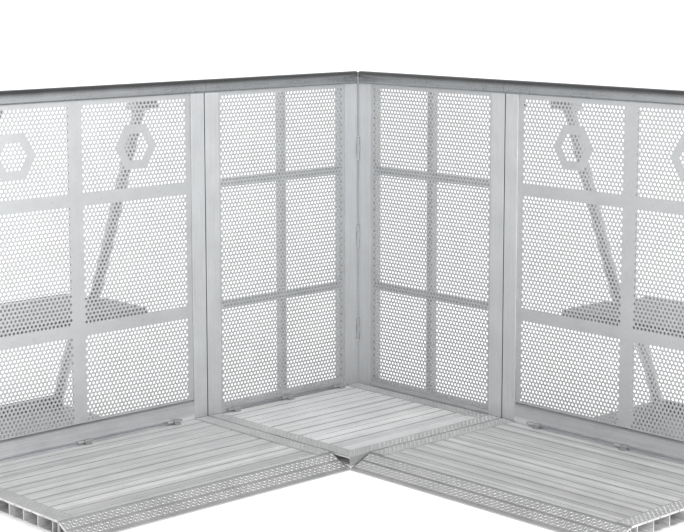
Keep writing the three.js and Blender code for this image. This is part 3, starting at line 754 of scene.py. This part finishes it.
def module(prefix, matrix, wall, deck_body, step_body, axis):
    middle = MODULE_W / 2
    inner = (POST_W + GAP, MODULE_W - POST_W - GAP)

    build = Build(matrix)
    patches = [(x, *PATCH) for x in PATCH_X]
    sheet_piece(build, inner, (KICK_Z1 + GAP, PANEL_TOP), *MODULE_FIELDS, MODULE_HOLE_SIDES,
                patches)
    build.piece(prefix + "_perforated_sheet", wall, "sheet", 0, (prefix + "_sheet",))

    build = Build(matrix)
    places = [(middle, z) for z in RIVETS_UP]
    places += [(x, z) for z in RIVET_ROWS for x in RIVETS_ACROSS]
    for x, z in places:
        dome(build, (x, SHEET_Y[0], z), (0, -1, 0), 3.4, 1.5)
    for x in (POST_W + 8, MODULE_W - POST_W - 8):
        for z in range(150, 1150, 110):
            dome(build, (x, SHEET_Y[0], z), (0, -1, 0), 3.0, 1.3)
    build.piece(prefix + "_rivets", wall, "sheet", 40)

    rail_piece(prefix, matrix, wall, (0.5, MODULE_W - 0.5), axis, False)

    deck_span = (2, MODULE_W - 2)
    deck_piece(prefix + "_plank_deck", matrix, deck_body, deck_span, 0, DECK_FRONT,
               stations(MODULE_W), "deck_" + axis, axis, (prefix + "_deck",))
    ramp_piece(prefix + "_tread_ramp", matrix, deck_body, (prefix + "_ramp",))
    for side, x0 in (("left", 2), ("right", MODULE_W - 2 - STRIP_W)):
        x1, y0, y1 = x0 + STRIP_W, DECK_FRONT + 2, DECK_BACK
        strip_piece(f"{prefix}_tread_strip_{side}", matrix, deck_body, rect((x0, x1), (y0, y1)),
                    [((x0 + 2, x1 - 2), (y0 + 2, y1 - 2))],
                    [(x0 + STRIP_W / 2, y) for y in (-40, -230, -420, -606)],
                    (f"{prefix}_deck_strip_{side}",))

    for side, x in (("left", middle - LEG_X), ("right", middle + LEG_X)):
        leg_piece(f"{prefix}_bent_leg_{side}", matrix, wall, x, (f"{prefix}_leg_{side}",))

    build = Build(matrix)
    wide = (middle - STEP_WIDE, middle + STEP_WIDE)
    lozenges(build, (wide[0] + 4, STEP_Y[0] + 4, STEP_TOP), (1, 0, 0), (0, 1, 0),
             (2 * STEP_WIDE - 8, STEP_Y[1] - STEP_Y[0] - 6), *STEP_TREAD)
    lozenges(build, (middle - STEP_NARROW + 4, STEP_Y[1] + 2, STEP_TOP), (1, 0, 0), (0, 1, 0),
             (2 * STEP_NARROW - 8, STEP_Y[2] - STEP_Y[1] - 6), *STEP_TREAD)
    build.piece(prefix + "_step_tread", step_body, ("step", "brace"), 30)

    build = Build(matrix)
    for x in inner:
        bead(build, (x, 2, KICK_Z0 + 6), (x, 2, KICK_Z1 - 6), 1.8)
        bead(build, (x, KICK_BACK - 6, KICK_Z0 + 3), (x, POST_D, KICK_Z1), 1.6)
    post_top_beads(build, ((2, POST_W), (MODULE_W - POST_W, MODULE_W - 2)))
    grid_beads(build, MODULE_BAR_Z, (POST_W + 0.6, MODULE_W - POST_W - 0.6), middle,
               MODULE_UPRIGHT_W, 1.6)
    # The legs' feet, the ends of the tube between the legs, and the strut's foot.
    for x in (middle - LEG_X, middle + LEG_X):
        for x0 in (x - 22, x + 22):
            bead(build, (x0, 582, 8.8), (x0, 612, 8.8), 2.2)
    for x in (middle - 282, middle + 282):
        bead(build, (x, 366, 386), (x, 392, 386), 1.8)
    bead(build, (middle - 275, 368, 9), (middle - 275, 556, 9), 2.0)
    build.piece(prefix + "_welds", wall, "weld", 50)


def rail_piece(prefix, matrix, body, span, axis, mitred):
    """The handrail: a round-topped hollow extrusion, cut to a mitre in front of the corner."""
    build = Build(matrix)
    z0 = TOP - RAIL_H
    outer = rounded((RAIL_FRONT, RAIL_BACK), (z0, TOP), (8, 8, 22, 22), 10)
    inner = rounded((RAIL_FRONT + 4, RAIL_BACK - 4), (z0 + 4, TOP - 4), (4, 4, 18, 18), 10)
    prism(build, outer, [inner], *span, along_x)
    if mitred:
        build.verts = [(min(x, y - MITRE_GAP) if y < 0 and x > -30 else x, y, z)
                       for x, y, z in build.verts]
    build.piece(prefix + "_rounded_handrail", body, "rail_" + axis, 30,
                (prefix + "_handrail",))


def leg_piece(name, matrix, body, x, replaced):
    """A bent tube leg, its head block and the bolts that hold the block up under the rail."""
    build = Build(matrix)
    line = tube_path([(x, y, z) for y, z in LEG_PATH], 9)
    sides = 28
    rings = []
    for k, point in enumerate(line):
        ahead = line[min(k + 1, len(line) - 1)] - line[max(k - 1, 0)]
        ahead.normalize()
        side = Vector((1, 0, 0))
        up = ahead.cross(side)
        ring = []
        for radius in (LEG_R, LEG_R - LEG_WALL):
            for i in range(sides):
                turn = 2 * math.pi * i / sides
                p = point + side * radius * math.cos(turn) + up * radius * math.sin(turn)
                if p.z < LEG_FOOT_Z:
                    p -= ahead * ((p.z - LEG_FOOT_Z) / ahead.z)
                ring.append(p)
        if rings and all(p.z <= LEG_FOOT_Z + 1e-4 for p in ring + rings[-1]):
            break
        rings.append(ring)
    verts = [tuple(p) for ring in rings for p in ring]
    size = 2 * sides
    faces = []
    for k in range(len(rings) - 1):
        a, b = k * size, (k + 1) * size
        for i in range(sides):
            j = (i + 1) % sides
            faces.append((a + i, a + j, b + j, b + i))
            faces.append((a + sides + j, a + sides + i, b + sides + i, b + sides + j))
    last = (len(rings) - 1) * size
    for i in range(sides):
        j = (i + 1) % sides
        faces.append((j, i, sides + i, sides + j))
        faces.append((last + i, last + j, last + sides + j, last + sides + i))
    build.add(verts, faces)
    head = rounded((x - HEAD_HALF_W, x + HEAD_HALF_W), HEAD_Y, (5,) * 4, 5)
    prism(build, head, [], HEAD_Z0, PANEL_TOP, along_z)
    for dx in (-31, 31):
        lathe(build, (x + dx, 62, HEAD_Z0), (0, 0, -1),
              [(-0.5, 0), (-0.5, 9), (1.2, 9), (1.2, 6.6), (6.2, 6.6), (7, 5.8), (7, 0)], 6)
    weld_line = [(x + 21 * math.cos(a), 67 + 22.5 * math.sin(a), HEAD_Z0 - 0.5)
                 for a in (2 * math.pi * k / 14 for k in range(15))]
    for start, end in zip(weld_line, weld_line[1:]):
        bead(build, start, end, 1.8)
    build.piece(name, body, "brace", 35, replaced)


def corner_panel(prefix, matrix, wall, axis):
    outer = -CORNER_W + CORNER_POST_W
    inner = (outer + GAP, HINGE_POST_X - GAP)
    middle = -CORNER_W / 2

    build = Build(matrix)
    sheet_piece(build, inner, (CORNER_SHEET_Z0, PANEL_TOP), *CORNER_FIELDS, CORNER_HOLE_SIDES)
    build.piece(prefix + "_perforated_sheet", wall, "sheet", 0, (prefix + "_sheet",))
    rail_piece(prefix, matrix, wall, (-CORNER_W + 0.5, -RAIL_SIDE), axis, True)

    build = Build(matrix)
    post_top_beads(build, ((-CORNER_W + 2, outer), (HINGE_POST_X + 1, -4)))
    grid_beads(build, CORNER_BAR_Z, inner, middle, CORNER_UPRIGHT_W, 1.5)
    for x in inner:
        bead(build, (x, BAR_Y[0] + 3, 70), (x, BAR_Y[1] - 4, 70), 1.5)
    build.piece(prefix + "_welds", wall, "weld", 50)


def corner_deck():
    span = (-CORNER_W + 2, -CORNER_DECK_RIGHT)
    places = [x - CORNER_W for x in stations(CORNER_W)]
    # The corner deck takes the brighter copy of the deck material: painted light.
    deck_piece("left_corner_plank_deck", LEFT, "corner_deck", span, CORNER_DECK_BOTTOM,
               CORNER_DECK_FRONT, places, "deck_painted_light", "x", ("left_corner_deck",))
    x0, x1 = span
    front = CORNER_DECK_FRONT
    outline = [(x0, DECK_BACK), (x0, front), (x1, front), (x1, DECK_BACK),
               (x1 - STRIP_W, DECK_BACK), (x1 - STRIP_W, front + STRIP_W),
               (x0 + STRIP_W, front + STRIP_W), (x0 + STRIP_W, DECK_BACK)]
    fields = [((x0 + 2, x0 + STRIP_W - 2), (front + STRIP_W, DECK_BACK - 2)),
              ((x1 - STRIP_W + 2, x1 - 2), (front + STRIP_W, DECK_BACK - 2)),
              ((x0 + 2, x1 - 2), (front + 2, front + STRIP_W - 2))]
    screws = [(x, y) for x in (x0 + 27, x1 - 27) for y in (-40, -240, -440, -640)]
    screws += [(x, front + 27) for x in (x0 + 200, x0 + 355, x0 + 510)]
    strip_piece("left_corner_tread_edging", LEFT, "corner_deck", outline, fields, screws,
                ("left_corner_deck_edging",))


def knob(name, matrix, body, z, side, replaced):
    """A five-lobed hand knob with rounded rims, and its zinc-plated bolt."""
    lug = LUG_T + JOINT_SIDE + 0.5
    build = Build(matrix)
    turns = 60
    stages = [(-lug - 20, 0.0), (-lug - 20, 0.45), (-lug - 19.4, 0.82), (-lug - 17.4, 0.95),
              (-lug - 14.5, 1.0), (-lug - 5.5, 1.0), (-lug - 2.6, 0.95), (-lug - 0.6, 0.8),
              (-lug, 0.5), (-lug, 0.0)]
    verts = [(side * stages[0][0], BOLT_Y, z)]
    for x, scale in stages[1:-1]:
        for i in range(turns):
            turn = 2 * math.pi * i / turns
            radius = scale * (14.3 + 2.4 * scale * math.cos(5 * turn))
            verts.append((side * x, BOLT_Y + radius * math.cos(turn), z + radius * math.sin(turn)))
    verts.append((side * stages[-1][0], BOLT_Y, z))
    faces = ring_faces(len(stages) - 2, turns, len(verts) - 1)
    if side < 0:
        faces = [f[::-1] for f in faces]
    build.add(verts, faces)
    build.piece(name + "_hand_knob", body, "knob", 50, (replaced,))
    build = Build(matrix)
    lathe(build, (0, BOLT_Y, z), (side, 0, 0),
          [(-lug - 1, 0), (-lug - 1, 6)] + [
              (-lug - 1 + k * 1.0, 6 if k % 2 else 5.5) for k in range(1, int(2 * lug) + 1)]
          + [(lug, 6), (lug, 0)], 20)
    lathe(build, (0, BOLT_Y, z), (side, 0, 0),
          [(lug - 0.3, 0), (lug - 0.3, 11), (lug + 1.2, 11), (lug + 1.2, 9.6), (lug + 7.2, 9.6),
           (lug + 8, 8.6), (lug + 8, 0)], 6)
    build.piece(name + "_bolt", body, "steel", 30)


# ---------------------------------------------------------------- carried-over CAD pieces
FINISH = {
    "post_left": "frame_z", "post_right": "frame_z", "post_outer": "frame_z",
    "post_hinge": "frame_z", "kick_rail": "kick_", "grid": "grid_", "bottom_bar": "frame_",
    "deck_pin": "steel", "leg_cross": "brace", "rear_foot": "brace", "strut": "brace",
    "step": "step", "step_pin": "steel", "base_plate": "deck_", "lower": "steel",
    "middle": "steel", "upper": "steel",
}
# How far each kind's edges are rounded; the others take EDGE.
EDGE = 0.8
EDGES = {"grid": 0.5, "bottom_bar": 0.5, "step": 0.5, "strut": 0.5, "post_hinge": 0.5,
         "post_left": 1.8, "post_right": 1.8, "post_outer": 1.8}


def dress_cad_nodes():
    """Gives each CAD node that is kept its finish, and rounds its edges a little."""
    kinds = sorted(FINISH, key=len, reverse=True)
    for name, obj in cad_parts.items():
        if obj.hide_render:
            continue
        axis = "y" if name.startswith("right") else "x"
        kind = next((k for k in kinds if name.endswith("_" + k)), None)
        if kind is None:
            continue
        finish = FINISH[kind]
        if finish.endswith("_"):
            finish += axis
        obj.data.materials.clear()
        obj.data.materials.append(MATERIALS[finish])
        weld = obj.modifiers.new("weld", "WELD")
        weld.merge_threshold = 0.00001
        if "custom_normal" in obj.data.attributes:
            obj.data.attributes.remove(obj.data.attributes["custom_normal"])
        obj.data.shade_smooth()
        add_bevel(obj, EDGES.get(kind, EDGE))
        if kind == "kick_rail":
            flat = obj.modifiers.new("flat_faces", "WEIGHTED_NORMAL")
            flat.mode = "FACE_AREA"
            flat.weight = 100


module("left_module", shifted(LEFT, -CORNER_W - MODULE_W),
       "left_wall", "left_deck", "left_step", "x")
module("right_module", shifted(RIGHT, CORNER_W),
       "right_wall", "right_deck", "right_step", "y")
corner_panel("left_corner", LEFT, "left_wall", "x")
corner_panel("right_corner", RIGHT @ MIRROR, "right_wall", "y")
corner_deck()
for level, height in zip(("lower", "upper"), BOLT_Z):
    knob(f"left_{level}", shifted(LEFT, -CORNER_W), f"left_knob_{level}", height, 1,
         f"left_joint_bolt_{level}")
    knob(f"right_{level}", shifted(RIGHT, CORNER_W), f"right_knob_{level}", height, -1,
         f"right_joint_bolt_{level}")
dress_cad_nodes()


# ---------------------------------------------------------------- floor, light and camera
WALLS, CEILING, FLOOR_GLOW = 0.95, 0.45, 0.82
FLOOR_HALF, FLOOR_Z = 40, -0.001
# Each softbox: place, what it points at, width and height, and power.
SOFTBOXES = {
    "key": ((-0.5, -5.0, 3.6), (0, 0, 0.5), (3.0, 2.2), 110),
    "fill": ((-4.8, -0.5, 3.4), (0, 0, 0.5), (3.0, 2.2), 4),
    "front": ((-3.9, -5.4, 3.2), (0, 0, 0.3), (2.4, 2.0), 60),
}
CAMERA_PLACE = (-3.9016, -4.1254, 1.5894)
CAMERA_YAW, CAMERA_PITCH, CAMERA_ROLL = (math.radians(a) for a in (46.922, -7.882, 0.054))
CAMERA_LENS, CAMERA_SENSOR, CAMERA_SHIFT = 93.06, 36, -0.08


def floor():
    mesh = bpy.data.meshes.new("floor")
    corners = rect((-FLOOR_HALF, FLOOR_HALF), (-FLOOR_HALF, FLOOR_HALF))
    mesh.from_pydata([(x, y, FLOOR_Z) for x, y in corners], [], [(0, 1, 2, 3)])
    material = bpy.data.materials.new("floor")
    material.use_nodes = True
    tree = material.node_tree
    shader = tree.nodes["Principled BSDF"]
    shader.inputs["Base Color"].default_value = (0.93, 0.93, 0.93, 1)
    shader.inputs["Roughness"].default_value = 0.9
    shader.inputs["Specular IOR Level"].default_value = 0.1
    shader.inputs["Emission Color"].default_value = (1, 1, 1, 1)
    shelter = node(tree, "ShaderNodeAmbientOcclusion", Distance=0.3)
    open_sky = arithmetic(tree, "POWER", shelter.outputs["AO"], 2)
    tree.links.new(arithmetic(tree, "MULTIPLY", open_sky, FLOOR_GLOW),
                   shader.inputs["Emission Strength"])
    mesh.materials.append(material)
    obj = bpy.data.objects.new("floor", mesh)
    bpy.context.scene.collection.objects.link(obj)


def softbox(name, place, target, size, watts):
    light = bpy.data.lights.new(name, "AREA")
    light.shape = "RECTANGLE"
    light.size, light.size_y = size
    light.energy = watts
    obj = bpy.data.objects.new(name, light)
    obj.location = place
    obj.rotation_euler = (Vector(target) - Vector(place)).to_track_quat("-Z", "Y").to_euler()
    bpy.context.scene.collection.objects.link(obj)


def studio():
    """A pale room under a dark ceiling, which the rounded rail tops pick up."""
    world = bpy.data.worlds.new("studio")
    bpy.context.scene.world = world
    world.use_nodes = True
    tree = world.node_tree
    background = tree.nodes["Background"]
    coords = tree.nodes.new("ShaderNodeTexCoord")
    height = tree.nodes.new("ShaderNodeSeparateXYZ")
    tree.links.new(coords.outputs["Generated"], height.inputs["Vector"])
    band = remap(tree, height.outputs["Z"], 0.2, 0.75, WALLS, CEILING)
    rays = tree.nodes.new("ShaderNodeLightPath")
    seen = arithmetic(tree, "MULTIPLY", rays.outputs["Is Camera Ray"],
                      arithmetic(tree, "SUBTRACT", 1.02, band))
    tree.links.new(arithmetic(tree, "ADD", band, seen), background.inputs["Strength"])
    background.inputs["Color"].default_value = (1, 1, 1, 1)
    for name, settings in SOFTBOXES.items():
        softbox(name, *settings)


def camera():
    """The photograph's viewpoint, pitched a little down so that only a small shift is needed."""
    data = bpy.data.cameras.new("camera")
    data.sensor_width = CAMERA_SENSOR
    data.lens = CAMERA_LENS
    data.shift_y = CAMERA_SHIFT
    data.clip_start, data.clip_end = 0.1, 100
    obj = bpy.data.objects.new("camera", data)
    obj.location = CAMERA_PLACE
    level = math.cos(CAMERA_PITCH)
    ahead = Vector((math.cos(CAMERA_YAW) * level, math.sin(CAMERA_YAW) * level,
                    math.sin(CAMERA_PITCH)))
    roll = Matrix.Rotation(-CAMERA_ROLL, 3, "Z").to_quaternion()
    obj.rotation_mode = "QUATERNION"
    obj.rotation_quaternion = ahead.to_track_quat("-Z", "Y") @ roll
    bpy.context.scene.collection.objects.link(obj)
    bpy.context.scene.camera = obj


floor()
studio()
camera()
bpy.context.scene.view_settings.view_transform = "Standard"
